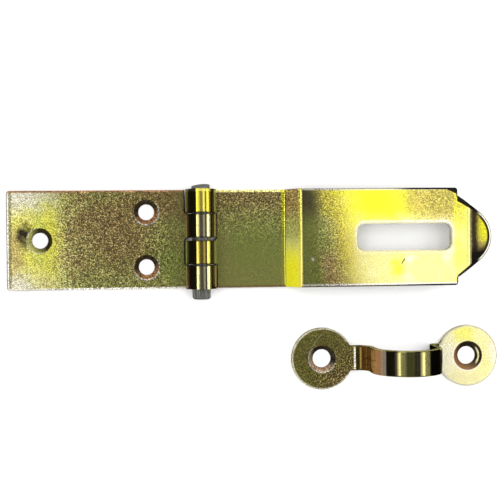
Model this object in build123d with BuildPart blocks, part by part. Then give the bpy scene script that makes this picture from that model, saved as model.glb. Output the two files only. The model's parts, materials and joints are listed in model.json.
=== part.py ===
from build123d import *
import os
from math import asin, degrees, hypot, radians, sqrt, tan

# A hinged strap hasp of stamped sheet steel with its staple, all in millimetres.
# X runs along the hasp from the fixed leaf to the lift tab, Y across it and Z away from the wall.
# The origin is on the back of the fixed leaf, midway between the two screw holes beside the hinge.

# Sheet and overall reach
SHEET = 1.5                 # thickness of the leaf, the strap and the staple
WIDTH = 25.5                # width of the leaf and the strap
LEAF_REACH = 49.4           # pin axis to the free end of the fixed leaf
STRAP_REACH = 75.35         # pin axis to the tip of the lift tab
LEAF_CORNER = 0.7           # corner radius of the stamped blanks
EDGE_ROLLOVER = 0.35        # how far the punch rounds or bevels the front edges
SAME_PLACE = 0.01           # places and slopes closer than this count as equal

# Screw holes of the fixed leaf
SCREW_TO_PIN = 14.0         # the pair of holes beside the hinge to the pin axis
PAIR_SPACING = 14.2         # between the two holes of the pair
END_SCREW_INSET = 8.3       # single hole to the free end of the leaf
SCREW_HOLE = 4.1            # diameter of the through hole
SCREW_HEAD = 6.5            # diameter of the countersink at the front
SINK_ANGLE = 90

# Hinge
PIN_DIAMETER = 4.7
PIN_CLEARANCE = 0.06        # radial, between the pin and the rolled knuckles
PIN_TOP = 1.5               # how far the sheared end stands out of the knuckles
PIN_TAIL = 2.7              # how far the knurled end stands out of the knuckles
PIN_CHAMFER = 0.45
SHEAR_SIDEWAYS = 6          # slant of the sheared end, lower on the side of the leaf
SHEAR_FORWARD = 14          # and turned up towards the front
KNURL_LENGTH = 4.2
KNURL_GROOVES = 28
KNURL_DEPTH = 0.22
KNUCKLE_GAP = 0.35          # between neighbouring knuckles near the ends
MIDDLE_GAP = 0.8            # between the two middle knuckles
NOTCH_CLEARANCE = 0.15      # between a knuckle and the notch edge opposite
NOTCH_CORNER = 1.2
SEAM_GAP = 0.25             # between the end of the curl and the sheet below it

# Strap
JOGGLE_START = 22.6         # pin axis to the foot of the joggle
JOGGLE_RUN = 3.0            # length of the sloping part, seen from the front
RAISE = 4.5                 # how far the joggle lifts the strap off the wall
BEND_RADIUS = 1.0           # inside radius of every press bend
SLOT_LENGTH = 24.6
SLOT_WIDTH = 7.0
SLOT_CORNER = 1.8
SLOT_INSET = 1.8            # far end of the slot to the square shoulders
TAB_LENGTH = 8.35           # square shoulders to the tip
TAB_NECK = 21.4             # width of the tab where it leaves the shoulders
TAB_TIP_RADIUS = 8.6
TAB_TIP_ARC = 90            # degrees of the round tip, before the flatter flanks
TAB_BEND_INSET = 4.95       # tip to the bend of the tab
TAB_LIFT = 22               # angle of the tab above the strap

# Staple
STAPLE_BACK = 1.7           # the staple lies this much nearer to the pin than the middle of the slot
STAPLE_DROP = 31.8          # middle of the hasp to the middle of the staple, along Y
STRIP_WIDTH = 6.5
STAPLE_HEIGHT = 16.6
LOOP_WIDTH = 18.6           # over the outside of the two legs
LOOP_SHIFT = 1.3            # the loop stands this much nearer to the foot under the tab
FOOT_DIAMETER = 16.2
FOOT_SPACING = 39.2         # between the two screw holes
NEAR_BEND = 2.6             # inside radius where the leg nearer to the pin rises from its foot
FAR_BEND = 0.8              # and the tighter one at the other foot
FOOT_CORNER = 1.0           # radius between a round foot and the strip
STAPLE_HOLE = 4.8
STAPLE_HEAD = 7.3

# Derived places
BORE_RADIUS = PIN_DIAMETER / 2 + PIN_CLEARANCE
BARREL_RADIUS = BORE_RADIUS + SHEET
PIN_X = SCREW_TO_PIN
PIN_Z = BARREL_RADIUS
LEAF_END = PIN_X - LEAF_REACH
NOTCH_REACH = BARREL_RADIUS + NOTCH_CLEARANCE
KNUCKLE = (WIDTH - 2 * KNUCKLE_GAP - MIDDLE_GAP) / 4
CURL_ANGLE = 270 + degrees(asin((PIN_Z - SHEET - SEAM_GAP) / BARREL_RADIUS))
BEND_MID = BEND_RADIUS + SHEET / 2

# Each knuckle's top and bottom along Y, from the +Y end down
knuckles = []
knuckle_top = WIDTH / 2
for gap_below in (KNUCKLE_GAP, MIDDLE_GAP, KNUCKLE_GAP, 0):
    knuckles.append((knuckle_top, knuckle_top - KNUCKLE))
    knuckle_top = knuckle_top - KNUCKLE - gap_below
strap_knuckles = [knuckles[0], knuckles[2]]
leaf_knuckles = [knuckles[1], knuckles[3]]


def tongue_outline(edge_x, knuckle_rows):
    """Add the flat tongues that run from a blank's notched edge to the line under the pin axis."""
    for top, bottom in knuckle_rows:
        with Locations(((edge_x + PIN_X) / 2, (top + bottom) / 2)):
            Rectangle(abs(edge_x - PIN_X), top - bottom)


def notch_corners(sketch, edge_x):
    """Pick the inner corners where the tongues meet the notched edge of a blank."""
    on_edge = sketch.vertices().filter_by(lambda v: abs(v.X - edge_x) < SAME_PLACE)
    return on_edge.filter_by(lambda v: abs(v.Y) < WIDTH / 2 - NOTCH_CORNER)


def front_rim(blank):
    """Pick the front edges of a blank's outline, clear of the notches beside the hinge."""
    forward = blank.faces().filter_by(lambda face: face.normal_at().Z > SAME_PLACE)
    walls = blank.faces().filter_by(lambda face: abs(face.normal_at().Z) < SAME_PLACE)
    rim = forward.edges() & walls.edges()
    return rim.filter_by(lambda edge: abs(edge.center().X - PIN_X) > NOTCH_REACH + SAME_PLACE)


def curl_profile(direction):
    """Draw the rolled knuckle in the XZ plane: a ring that starts under the pin and turns one way."""
    with BuildLine() as ring:
        outer = CenterArc((PIN_X, PIN_Z), BARREL_RADIUS, -90, direction * CURL_ANGLE)
        inner = CenterArc((PIN_X, PIN_Z), BORE_RADIUS, -90, direction * CURL_ANGLE)
        Line(outer @ 0, inner @ 0)
        Line(outer @ 1, inner @ 1)
    make_face(ring.edges())


# Fixed leaf
LEAF_EDGE = PIN_X - NOTCH_REACH
with BuildPart() as fixed_leaf:
    with BuildSketch() as leaf_blank:
        with Locations(((LEAF_END + LEAF_EDGE) / 2, 0)):
            Rectangle(LEAF_EDGE - LEAF_END, WIDTH)
        fillet(leaf_blank.vertices().group_by(Axis.X)[0], LEAF_CORNER)
        tongue_outline(LEAF_EDGE, leaf_knuckles)
        fillet(notch_corners(leaf_blank, LEAF_EDGE), NOTCH_CORNER)
    extrude(amount=SHEET)
    fillet(front_rim(fixed_leaf), EDGE_ROLLOVER)
    with Locations((LEAF_END + END_SCREW_INSET, 0, SHEET)):
        CounterSinkHole(SCREW_HOLE / 2, SCREW_HEAD / 2, counter_sink_angle=SINK_ANGLE)
    with Locations((0, PAIR_SPACING / 2, SHEET), (0, -PAIR_SPACING / 2, SHEET)):
        CounterSinkHole(SCREW_HOLE / 2, SCREW_HEAD / 2, counter_sink_angle=SINK_ANGLE)
    for top, bottom in leaf_knuckles:
        with BuildSketch(Plane.XZ.offset(-top)):
            curl_profile(1)
        extrude(amount=top - bottom)
fixed_leaf.part.label = "fixed_leaf"

# Hasp strap
STRAP_EDGE = PIN_X + NOTCH_REACH
TIP_X = PIN_X + STRAP_REACH
SHOULDER_X = TIP_X - TAB_LENGTH
TAB_BEND_X = TIP_X - TAB_BEND_INSET
SLOT_X = SHOULDER_X - SLOT_INSET - SLOT_LENGTH / 2
LOW_Z = SHEET / 2
HIGH_Z = SHEET / 2 + RAISE
TAB_END_Z = HIGH_Z + (TAB_BEND_INSET + SHEET) * tan(radians(TAB_LIFT))
ABOVE_TAB = TAB_END_Z + SHEET
with BuildPart() as hasp_strap:
    with BuildSketch(Plane.XZ):
        with BuildLine():
            FilletPolyline(
                (PIN_X, LOW_Z),
                (PIN_X + JOGGLE_START, LOW_Z),
                (PIN_X + JOGGLE_START + JOGGLE_RUN, HIGH_Z),
                (TAB_BEND_X, HIGH_Z),
                (TIP_X + SHEET, TAB_END_Z),
                radius=BEND_MID,
            )
        trace(line_width=SHEET)
    extrude(amount=WIDTH, both=True)
    with BuildSketch() as strap_blank:
        with Locations(((STRAP_EDGE + SHOULDER_X) / 2, 0)):
            Rectangle(SHOULDER_X - STRAP_EDGE, WIDTH)
        fillet(strap_blank.vertices().group_by(Axis.X)[-1], LEAF_CORNER)
        tongue_outline(STRAP_EDGE, strap_knuckles)
        fillet(notch_corners(strap_blank, STRAP_EDGE), NOTCH_CORNER)
        with BuildLine():
            neck = (SHOULDER_X, TAB_NECK / 2)
            tip_middle = (TIP_X - TAB_TIP_RADIUS, 0)
            tip = CenterArc(tip_middle, TAB_TIP_RADIUS, -TAB_TIP_ARC / 2, TAB_TIP_ARC)
            flank = TangentArc(tip @ 1, neck, tangent=tip % 1)
            mirror(flank, about=Plane.XZ)
            Line(neck, (SHOULDER_X, -TAB_NECK / 2))
        make_face()
    extrude(amount=ABOVE_TAB, mode=Mode.INTERSECT)
    fillet(front_rim(hasp_strap), EDGE_ROLLOVER)
    with BuildSketch(Plane.XY.offset(RAISE)):
        with Locations((SLOT_X, 0)):
            RectangleRounded(SLOT_LENGTH, SLOT_WIDTH, SLOT_CORNER)
    extrude(amount=SHEET, mode=Mode.SUBTRACT)
    chamfer(hasp_strap.edges(Select.LAST).group_by(Axis.Z)[-1], EDGE_ROLLOVER)
    for top, bottom in strap_knuckles:
        with BuildSketch(Plane.XZ.offset(-top)):
            curl_profile(-1)
        extrude(amount=top - bottom)
hasp_strap.part.label = "hasp_strap"

# Hinge pin
PIN_END = WIDTH / 2 + PIN_TOP
PIN_START = -WIDTH / 2 - PIN_TAIL
with BuildPart() as hinge_pin:
    with BuildSketch(Plane.XZ.offset(-PIN_END)):
        with Locations((PIN_X, PIN_Z)):
            Circle(PIN_DIAMETER / 2)
    extrude(amount=PIN_END - PIN_START)
    chamfer(hinge_pin.edges().group_by(Axis.Y)[0], PIN_CHAMFER)
    with BuildSketch(Plane.XZ.offset(-PIN_START)):
        with Locations((PIN_X, PIN_Z)):
            with PolarLocations(PIN_DIAMETER / 2, KNURL_GROOVES):
                Rectangle(KNURL_DEPTH * sqrt(2), KNURL_DEPTH * sqrt(2), rotation=45)
    extrude(amount=-KNURL_LENGTH, mode=Mode.SUBTRACT)
    shear_slope = (-tan(radians(SHEAR_SIDEWAYS)), 1, tan(radians(SHEAR_FORWARD)))
    shear_rise = PIN_DIAMETER / 2 * hypot(shear_slope[0], shear_slope[2])
    split(bisect_by=Plane((PIN_X, PIN_END - shear_rise, PIN_Z), z_dir=shear_slope), keep=Keep.BOTTOM)
hinge_pin.part.label = "hinge_pin"

# Staple
STAPLE_X = SLOT_X - STAPLE_BACK
LEG_MID = (LOOP_WIDTH - SHEET) / 2
SPRING_Z = STAPLE_HEIGHT - LOOP_WIDTH / 2
with BuildPart() as staple:
    with BuildSketch(Plane((STAPLE_X, -STAPLE_DROP, 0), x_dir=(1, 0, 0), z_dir=(0, -1, 0))):
        with BuildLine():
            for side, bend in ((-1, NEAR_BEND), (1, FAR_BEND)):
                FilletPolyline(
                    (side * FOOT_SPACING / 2, SHEET / 2),
                    (LOOP_SHIFT + side * LEG_MID, SHEET / 2),
                    (LOOP_SHIFT + side * LEG_MID, SPRING_Z),
                    radius=bend + SHEET / 2,
                )
            CenterArc((LOOP_SHIFT, SPRING_Z), LEG_MID, 0, 180)
        trace(line_width=SHEET)
    extrude(amount=STRIP_WIDTH / 2, both=True)
    with BuildSketch(Plane((STAPLE_X, -STAPLE_DROP, 0))):
        with GridLocations(FOOT_SPACING, 1, 2, 1):
            Circle(FOOT_DIAMETER / 2)
    extrude(amount=SHEET)
    corners = staple.edges().filter_by(Axis.Z).group_by(Axis.Z)[0]
    fillet(corners.filter_by(lambda e: abs(e.center().X - STAPLE_X) < FOOT_SPACING / 2), FOOT_CORNER)
    rims = staple.edges().filter_by(GeomType.CIRCLE)
    rims = rims.filter_by(lambda e: abs(e.radius - FOOT_DIAMETER / 2) < SAME_PLACE)
    chamfer(rims.group_by(Axis.Z)[-1], EDGE_ROLLOVER)
    with Locations((STAPLE_X, -STAPLE_DROP, SHEET)):
        with GridLocations(FOOT_SPACING, 1, 2, 1):
            CounterSinkHole(STAPLE_HOLE / 2, STAPLE_HEAD / 2, counter_sink_angle=SINK_ANGLE)
staple.part.label = "staple"

os.makedirs("parts", exist_ok=True)
export_step(fixed_leaf.part, "parts/fixed_leaf.step")
export_step(hasp_strap.part, "parts/hasp_strap.step")
export_step(hinge_pin.part, "parts/hinge_pin.step")
export_step(staple.part, "parts/staple.step")
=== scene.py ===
# %% [markdown]
# A hinged strap hasp and its staple, in yellow-passivated zinc plate on stamped sheet steel.
# The solids come from the frame at their real size and are already right in shape, so this lesson is
# about finish and light: how thin chromate colours over zinc can be painted with shader nodes, and
# how a small studio makes bent sheet read as metal. Image textures could carry such stains too, but
# nodes on Object coordinates need no files, stay sharp at any distance and move with their piece.

# %% Load the frame
import json
from collections import namedtuple
from math import pi, radians
import bpy
from mathutils import Matrix, Vector


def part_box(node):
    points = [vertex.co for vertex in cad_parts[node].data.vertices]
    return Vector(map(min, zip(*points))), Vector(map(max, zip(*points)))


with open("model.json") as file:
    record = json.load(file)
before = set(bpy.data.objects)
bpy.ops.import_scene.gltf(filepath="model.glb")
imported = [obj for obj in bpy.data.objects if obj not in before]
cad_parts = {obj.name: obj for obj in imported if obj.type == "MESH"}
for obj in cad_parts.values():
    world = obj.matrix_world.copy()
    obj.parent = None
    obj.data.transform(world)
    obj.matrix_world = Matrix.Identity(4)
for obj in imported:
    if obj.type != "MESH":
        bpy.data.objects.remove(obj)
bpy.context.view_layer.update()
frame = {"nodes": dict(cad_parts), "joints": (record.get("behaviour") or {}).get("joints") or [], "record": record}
MM = 0.001
print("nodes:", sorted(frame["nodes"]))

# %% [markdown]
# The finish needs places: the pin axis, the ends of the leaf and the strap, the screw holes, the slot
# and the middle of the staple. They could be typed in, but the frame knows them all, as boxes, joints,
# mounts and openings, so they are read from it, and a stain stays where it belongs if a size changes.
# Only the press bends of the strap are given here, as distances from the pin and from the tip.

# %% Places on the object, in millimetres
leaf_low, leaf_high = (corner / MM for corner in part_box("fixed_leaf"))
strap_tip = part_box("hasp_strap")[1].x / MM
pin = Vector(frame["joints"][0]["pos_m"]) / MM
mounts = {mount["name"]: mount for mount in frame["record"]["mounts"]}
openings = {gap["name"]: gap["box_m"] for gap in frame["record"]["physics"]["openings"]}


def middle_of(name):
    """The middle of a named opening."""
    low, high = openings[name]
    return (Vector(low) + Vector(high)) / 2 / MM


end_hole = Vector(mounts["end_screw"]["pos_m"]) / MM
pair_half = mounts["hinge_side_screws"]["dims"]["spacing_y_mm"] / 2
slot_middle = middle_of("strap_slot")
loop_middle = middle_of("staple_loop")
staple_middle = Vector(mounts["staple_screws"]["pos_m"]) / MM
foot_half = mounts["staple_screws"]["dims"]["spacing_x_mm"] / 2
STEP_FOOT = pin.x + 22.2
STEP_CREST = pin.x + 25.6
SHOULDER = strap_tip - 8.35
TAB_FOLD = strap_tip - 5.0
print("pin", pin, "end hole", end_hole, "slot", slot_middle, "staple", staple_middle)

# %% [markdown]
# The picture looks almost straight down from about a quarter of a metre, which gives the loop of the
# staple its slight lean. A camera can be aimed with a constraint, but three small turns about its own
# axes also hold the roll. The lens is given as a share of the sensor's width.

# %% Camera
CAMERA_PLACE = Vector((4.75, -1.48, 240.0)) * MM
CAMERA_YAW, CAMERA_PITCH, CAMERA_ROLL = radians(-5.286), radians(-0.361), radians(-0.635)
SENSOR_WIDTH = 36.0
LENS_TO_SENSOR = 1.8381
NEAR_CLIP = 10.0 * MM
camera_data = bpy.data.cameras.new("camera")
camera_data.sensor_width = SENSOR_WIDTH
camera_data.lens = LENS_TO_SENSOR * SENSOR_WIDTH
camera_data.clip_start = NEAR_CLIP
camera = bpy.data.objects.new("camera", camera_data)
aim = Matrix.Rotation(CAMERA_YAW, 4, "Y") @ Matrix.Rotation(CAMERA_PITCH, 4, "X")
aim = aim @ Matrix.Rotation(CAMERA_ROLL, 4, "Z")
camera.matrix_world = Matrix.Translation(CAMERA_PLACE) @ aim
bpy.context.scene.collection.objects.link(camera)
bpy.context.scene.camera = camera
print("lens:", round(camera_data.lens, 2), "mm")


# %% [markdown]
# Shader maths could be linked node by node, but it reads best as ordinary expressions. A Wire wraps one
# output socket, and adding, subtracting, multiplying or dividing wires and numbers puts down the Math
# node that does it.

# %% Arithmetic on shader sockets
class Wire:
    """A value that varies over a surface: an output socket that can be used in arithmetic."""

    def __init__(self, tree, socket):
        self.tree = tree
        self.socket = socket

    def math(self, operation, first, second):
        """Add a Math node on two values, each a wire or a number."""
        node = self.tree.nodes.new("ShaderNodeMath")
        node.operation = operation
        for slot, value in zip(node.inputs, (first, second)):
            if isinstance(value, Wire):
                self.tree.links.new(value.socket, slot)
            else:
                slot.default_value = value
        return Wire(self.tree, node.outputs[0])

    def __add__(self, other):
        return self.math("ADD", self, other)

    def __radd__(self, other):
        return self.math("ADD", other, self)

    def __sub__(self, other):
        return self.math("SUBTRACT", self, other)

    def __rsub__(self, other):
        return self.math("SUBTRACT", other, self)

    def __mul__(self, other):
        return self.math("MULTIPLY", self, other)

    def __rmul__(self, other):
        return self.math("MULTIPLY", other, self)

    def __truediv__(self, other):
        return self.math("DIVIDE", self, other)

    def __pow__(self, other):
        return self.math("POWER", self, other)

    def __rpow__(self, other):
        return self.math("POWER", other, self)

    def size(self):
        """The value without its sign."""
        return self.math("ABSOLUTE", self, 0.0)

    def least(self, other):
        """The smaller of two values."""
        return self.math("MINIMUM", self, other)

    def most(self, other):
        """The larger of two values."""
        return self.math("MAXIMUM", self, other)


# %% [markdown]
# Every other node comes from one method, settings first and then sockets. Object coordinates are in
# metres. They are turned into millimetres at once, because the stains are that small.

# %% The nodes of one material
class Nodes:
    """The node graph of one material, on Object coordinates in millimetres."""

    def __init__(self, name):
        self.material = bpy.data.materials.new(name)
        self.material.use_nodes = True
        self.tree = self.material.node_tree
        self.shader = self.tree.nodes["Principled BSDF"]
        place = self.node("ShaderNodeTexCoord", out="Object")
        scaled = {"Vector": place, "Scale": 1 / MM}
        self.mm = self.node("ShaderNodeVectorMath", {"operation": "SCALE"}, scaled)
        self.x, self.y, self.z = (
            self.node("ShaderNodeSeparateXYZ", sockets={"Vector": self.mm}, out=axis) for axis in "XYZ"
        )

    def feed(self, socket, value):
        """Link a wire to a socket, or set the socket's own value."""
        if isinstance(value, Wire):
            self.tree.links.new(value.socket, socket)
        else:
            socket.default_value = value

    def paint(self, name, value):
        """Feed one socket of the material's shader."""
        self.feed(self.shader.inputs[name], value)

    def node(self, kind, settings=None, sockets=None, out=0):
        """Add a node of a kind, set its settings, feed its sockets and return one output."""
        made = self.tree.nodes.new(kind)
        for name, value in (settings or {}).items():
            setattr(made, name, value)
        for name, value in (sockets or {}).items():
            self.feed(made.inputs[name], value)
        return Wire(self.tree, made.outputs[out])

    def blend(self, first, second, share):
        """Colour mix: first where share is 0, second where it is 1."""
        sockets = {"Factor": share, 6: first, 7: second}
        return self.node("ShaderNodeMix", {"data_type": "RGBA"}, sockets, out=2)

    def shade(self, colour, factor):
        """Multiply a colour by a number that varies over the surface."""
        grey = self.node("ShaderNodeCombineXYZ", sockets={axis: factor for axis in "XYZ"})
        return self.node("ShaderNodeVectorMath", {"operation": "MULTIPLY"}, {0: colour, 1: grey})

    def bump(self, height, distance):
        """A normal bent by a height from 0 to 1, which stands for this many millimetres."""
        sockets = {"Height": height, "Strength": 1.0, "Distance": distance * MM}
        return self.node("ShaderNodeBump", sockets=sockets)


# %% [markdown]
# On that graph a Finish names what a plater's eye would look for: grain, a slow change of tint, a band, a
# blot with a ragged edge, a scratch. Each is a mask from 0 to 1, and a pair of numbers says where it
# starts and where it ends. Masks could be drawn as pictures, but a distance from a place needs none.

# %% Marks on a surface
Blot = namedtuple("Blot", "centre radii ragged", defaults=(0.5,))
BLOT_GRAIN = 0.4
BLOT_DETAIL = 4.0
BLOT_FADE = (0.15, 1.1)


class Finish(Nodes):
    """A material with the marks that rolling, plating and handling leave on a surface, and with painted highlights
    and shade.
    """

    def noise(self, size, detail=2.0, at=None):
        """Smooth noise from 0 to 1 whose blotches are about size millimetres across."""
        sockets = {"Vector": at or self.mm, "Scale": 1 / size, "Detail": detail}
        return self.node("ShaderNodeTexNoise", sockets=sockets)

    def cells(self, size):
        """A random number from 0 to 1 for each small cell of about size millimetres."""
        sockets = {"Vector": self.mm, "Scale": 1 / size}
        colour = self.node("ShaderNodeTexVoronoi", sockets=sockets, out="Color")
        return self.node("ShaderNodeSeparateColor", sockets={"Color": colour}, out="Red")

    def rise(self, value, low, high):
        """A smooth step up, from 0 at low to 1 at high."""
        settings = {"interpolation_type": "SMOOTHSTEP"}
        sockets = {"Value": value, "From Min": low, "From Max": high}
        return self.node("ShaderNodeMapRange", settings, sockets)

    def fall(self, value, low, high):
        """A smooth step down, from 1 at low to 0 at high."""
        return 1.0 - self.rise(value, low, high)

    def band(self, value, low, high, fade):
        """1 where the value lies between low and high, 0 outside, over soft edges as wide as fade."""
        past_low = self.rise(value, low - fade / 2, low + fade / 2)
        past_high = self.rise(value, high - fade / 2, high + fade / 2)
        return past_low - past_high

    def reach(self, centre, radii=(1.0, 1.0)):
        """Distance from a place on the sheet, counted in radii along X and along Y."""
        along, across = (self.x - centre[0]) / radii[0], (self.y - centre[1]) / radii[1]
        return (along ** 2.0 + across ** 2.0) ** 0.5

    def patch(self, blot):
        """A blot: 1 at its centre, falling to 0 at its radii, with an edge made ragged by noise."""
        edge = self.noise(BLOT_GRAIN * min(blot.radii), BLOT_DETAIL)
        far = self.reach(blot.centre, blot.radii) + (edge - 0.5) * blot.ragged
        return self.fall(far, *BLOT_FADE)

    def scratch(self, start, end, width):
        """A fine straight mark from start to end, as the distance to a line in the sheet's plane."""
        along = Vector((end[0] - start[0], end[1] - start[1]))
        length = along.length
        along.normalize()
        run = (self.x - start[0]) * along.x + (self.y - start[1]) * along.y
        off = (self.y - start[1]) * along.x - (self.x - start[0]) * along.y
        return self.fall(off.size(), width / 2, width) * self.band(run, 0.0, length, fade=width)


# %% [markdown]
# Yellow passivation is a film thinner than a wavelength, and its tint drifts with its thickness: lemon
# and straw where it is thin, olive and green where it is thicker, bronze and rose in between. Blender's
# thin-film input could work such tints out, but named colours can be matched one by one. The list
# goes on to burnt and burnished metal, from copper down to jet. Colours are linear.

# %% Tints of the film
OLIVE = (0.56, 0.55, 0.17, 1.0)
GREEN = (0.48, 0.54, 0.14, 1.0)
MOSS = (0.32, 0.35, 0.09, 1.0)
KHAKI = (0.345, 0.305, 0.08, 1.0)
BRONZE = (0.46, 0.33, 0.13, 1.0)
BROWN = (0.46, 0.34, 0.13, 1.0)
OCHRE = (0.55, 0.44, 0.08, 1.0)
GOLD = (0.76, 0.64, 0.11, 1.0)
LEMON = (0.92, 0.87, 0.028, 1.0)
STRAW = (0.78, 0.72, 0.27, 1.0)
CREAM = (0.86, 0.79, 0.30, 1.0)
IVORY = (0.88, 0.81, 0.42, 1.0)
PEARL = (0.95, 0.90, 0.74, 1.0)
ROSE = (0.85, 0.68, 0.52, 1.0)
COPPER = (0.40, 0.21, 0.09, 1.0)
RUST = (0.33, 0.165, 0.035, 1.0)
# From umber down the dark tints mostly serve as painted shade, and pearl, ivory, cream and straw also as painted
# highlights; soot also marks scratches and a smudge.
UMBER = (0.15, 0.13, 0.06, 1.0)
SMOKE = (0.21, 0.19, 0.12, 1.0)
TAWNY = (0.26, 0.19, 0.04, 1.0)
SEPIA = (0.15, 0.115, 0.025, 1.0)
SHADE_AND_SOOT = (0.03, 0.024, 0.012, 1.0)
JET = (0.008, 0.006, 0.004, 1.0)
print("palest tint", PEARL[:3], "darkest tint", JET[:3])

# %% [markdown]
# Below the film lies rolled and tumbled zinc, whose grain of a fifth of a millimetre throws bright and
# dark specks. Cells of random brightness give the sharp part of it and a fine noise the soft part. One
# function lays down the metal, its grain and its film, and each piece then lists its own stains and its
# painted highlights and shade: a tint, a mask, and the share of it that shows. A piece also says where
# it sparkles and where its film is milky. A film scatters some light, so no part of it is a pure metal,
# and the milky parts are less of one.

# %% Zinc under its film
StainAndShading = namedtuple("StainAndShading", "tint mask share", defaults=(1.0,))
GRAIN_SIZE, GRAIN_CONTRAST = 0.22, 0.75
RIPPLE_SIZE, RIPPLE_CONTRAST = 0.28, 1.2
WAVE_SIZE = 0.40
DRIFT_SIZE, DRIFT_SHARE = 2.6, 0.5
CLOUD_SIZE, CLOUD_TURN = 9.0, (0.42, 0.70)
PLAIN_SPECKS = 0.45
BOLD_SPECKS = 3.3
FILM_SCATTER = 0.17
ZINC_ROUGHNESS, GRAIN_ROUGHNESS = 0.10, 0.05
GRAIN_HEIGHT, GRAIN_RELIEF = 0.0035, 0.3


def zinc_finish(name, stains, sparkle, milky):
    """Tumbled zinc under a thin yellow film, with the stains and the painted highlights and shade of one piece
    laid over it.
    """
    finish = Finish(name)
    grain = finish.cells(GRAIN_SIZE)
    ripple = finish.noise(RIPPLE_SIZE, detail=0.0)
    wave = finish.noise(WAVE_SIZE)
    cloud = finish.noise(CLOUD_SIZE)
    drift = finish.noise(DRIFT_SIZE, detail=3.0)
    colour = finish.blend(OLIVE, BRONZE, finish.rise(cloud + (drift - 0.5) * DRIFT_SHARE, *CLOUD_TURN))
    for stain in stains(finish, drift):
        colour = finish.blend(colour, stain.tint, stain.mask * stain.share)
    speckle = (grain - 0.5) * GRAIN_CONTRAST + (ripple - 0.5) * RIPPLE_CONTRAST
    stops = speckle * (PLAIN_SPECKS + sparkle(finish) * BOLD_SPECKS)
    finish.paint("Base Color", finish.shade(colour, 2.0 ** stops))
    finish.paint("Metallic", (1.0 - FILM_SCATTER) - milky(finish))
    finish.paint("Roughness", ZINC_ROUGHNESS + grain * GRAIN_ROUGHNESS)
    finish.paint("Normal", finish.bump(wave + grain * GRAIN_RELIEF, GRAIN_HEIGHT))
    print(name, "nodes:", len(finish.tree.nodes))
    return finish.material


# %% [markdown]
# The screw holes were countersunk after the stamping, so their cones show brown, burnt metal. One side
# of each cone gets painted shade and its rim, on the lit side, a painted highlight. A ring mesh could
# carry that colour, but a distance from the middle of the hole does it in the sheet's own material.

# %% Countersunk holes
SINK_EDGE = 0.1
HIGHLIGHT_WIDTH, HIGHLIGHT_FADE = 0.2, 0.15
HIGHLIGHT_SIDE = (-0.8, 0.6)
SHADED_SIDE = (-0.45, 0.75)
CONE_SLANT = 0.15


def countersink(finish, centre, head, lit, tint=COPPER, shine=1.0):
    """Stains of one screw hole: a tinted cone, painted shade on the side away from lit, and a painted highlight on
    the rim.
    """
    far = finish.reach(centre)
    side = ((finish.x - centre[0]) * lit[0] + (finish.y - centre[1]) * lit[1]) / head
    cone = finish.fall(far, head - SINK_EDGE, head)
    yield StainAndShading(tint, cone)
    # painted shade on the side of the cone away from the light
    yield StainAndShading(SHADE_AND_SOOT, cone * finish.fall(side + (far - head) * CONE_SLANT, *SHADED_SIDE))
    highlight = finish.band(far, head - SINK_EDGE, head + HIGHLIGHT_WIDTH, HIGHLIGHT_FADE)
    # painted highlight on the rim, on the lit side
    yield StainAndShading(PEARL, highlight * finish.rise(side, *HIGHLIGHT_SIDE), shine)


def in_sinks(finish, centres, head):
    """1 inside the countersinks at these places, 0 on the sheet round them."""
    far = finish.reach(centres[0])
    for centre in centres[1:]:
        far = far.least(finish.reach(centre))
    return finish.fall(far, head - SINK_EDGE, head)


screws = {name: mount["dims"].get("count", 1) for name, mount in mounts.items() if "screw" in name}
print("countersunk holes:", screws)

# %% [markdown]
# The knuckles were rolled round a mandrel. Their flanks, their middle and the seams between them get
# painted shade, which leaves two lines of light beside the darker middle. Each knuckle could have a
# material of its own, but both sheets have them in alternate rows, so one function serves them all and
# takes the tints.

# %% Rolled knuckles
BARREL = leaf_high.z / 2
HALF_WIDTH = leaf_high.y
BARREL_FADE = 0.1
NOTCH_FADE = (0.3, 0.6)
ROW_SEAM = HALF_WIDTH / 2 + 0.2
SEAM_HALF, SEAM_FADE = 0.4, 0.2
MIDDLE_SEAM = (0.5, 0.8)
LAST_ROW = (-1.02, -0.98)
MIDDLE_BAND, SIDE_BAND, BAND_FADE = (-0.17, 0.35), (0.84, 0.97), 0.06
LIT_BAND, LIT_FADE = (-0.34, 0.60), 0.05


def on_knuckles(finish):
    """1 on the rolled knuckles, 0 on the flat sheet."""
    return finish.fall((finish.x - pin.x).size(), BARREL, BARREL + BARREL_FADE)


def leaf_rows(finish):
    """1 in the two rows of the leaf's own knuckles, 0 in the two rows of the strap's."""
    row = finish.y / ROW_SEAM
    return finish.band(row, 0.0, 1.0, fade=0.03).most(finish.fall(row, *LAST_ROW))


def notches(finish):
    """1 on the sheet's edge close behind the barrel, 0 further off."""
    return finish.fall((finish.x - pin.x).size() - BARREL, *NOTCH_FADE)


def knuckle_shading(finish, bright, middle, sides):
    """Rolled knuckles: a bright tint, painted shade on the middle, the flanks, the ends and the seams, and tinted
    sides.
    """
    across = (finish.x - pin.x) / BARREL
    along = finish.y.size()
    knuckle = on_knuckles(finish)
    yield StainAndShading(bright, knuckle)
    # the darker middle tint is painted shade
    yield StainAndShading(middle, knuckle * finish.band(across, *MIDDLE_BAND, BAND_FADE))
    # painted shade on the flanks, outside the two lit bands
    yield StainAndShading(SHADE_AND_SOOT, knuckle * (1.0 - finish.band(across, *LIT_BAND, LIT_FADE)))
    yield StainAndShading(sides, knuckle * finish.band(across.size(), *SIDE_BAND, BAND_FADE), share=0.5)
    # painted shade in the seams between the knuckles and at the middle
    seam = finish.band(along, ROW_SEAM - SEAM_HALF, ROW_SEAM + SEAM_HALF, SEAM_FADE)
    yield StainAndShading(SHADE_AND_SOOT, knuckle * seam.most(finish.fall(along, *MIDDLE_SEAM)), share=0.9)


print("barrel radius:", round(BARREL, 2), "rows part at:", round(ROW_SEAM, 2))

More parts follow.
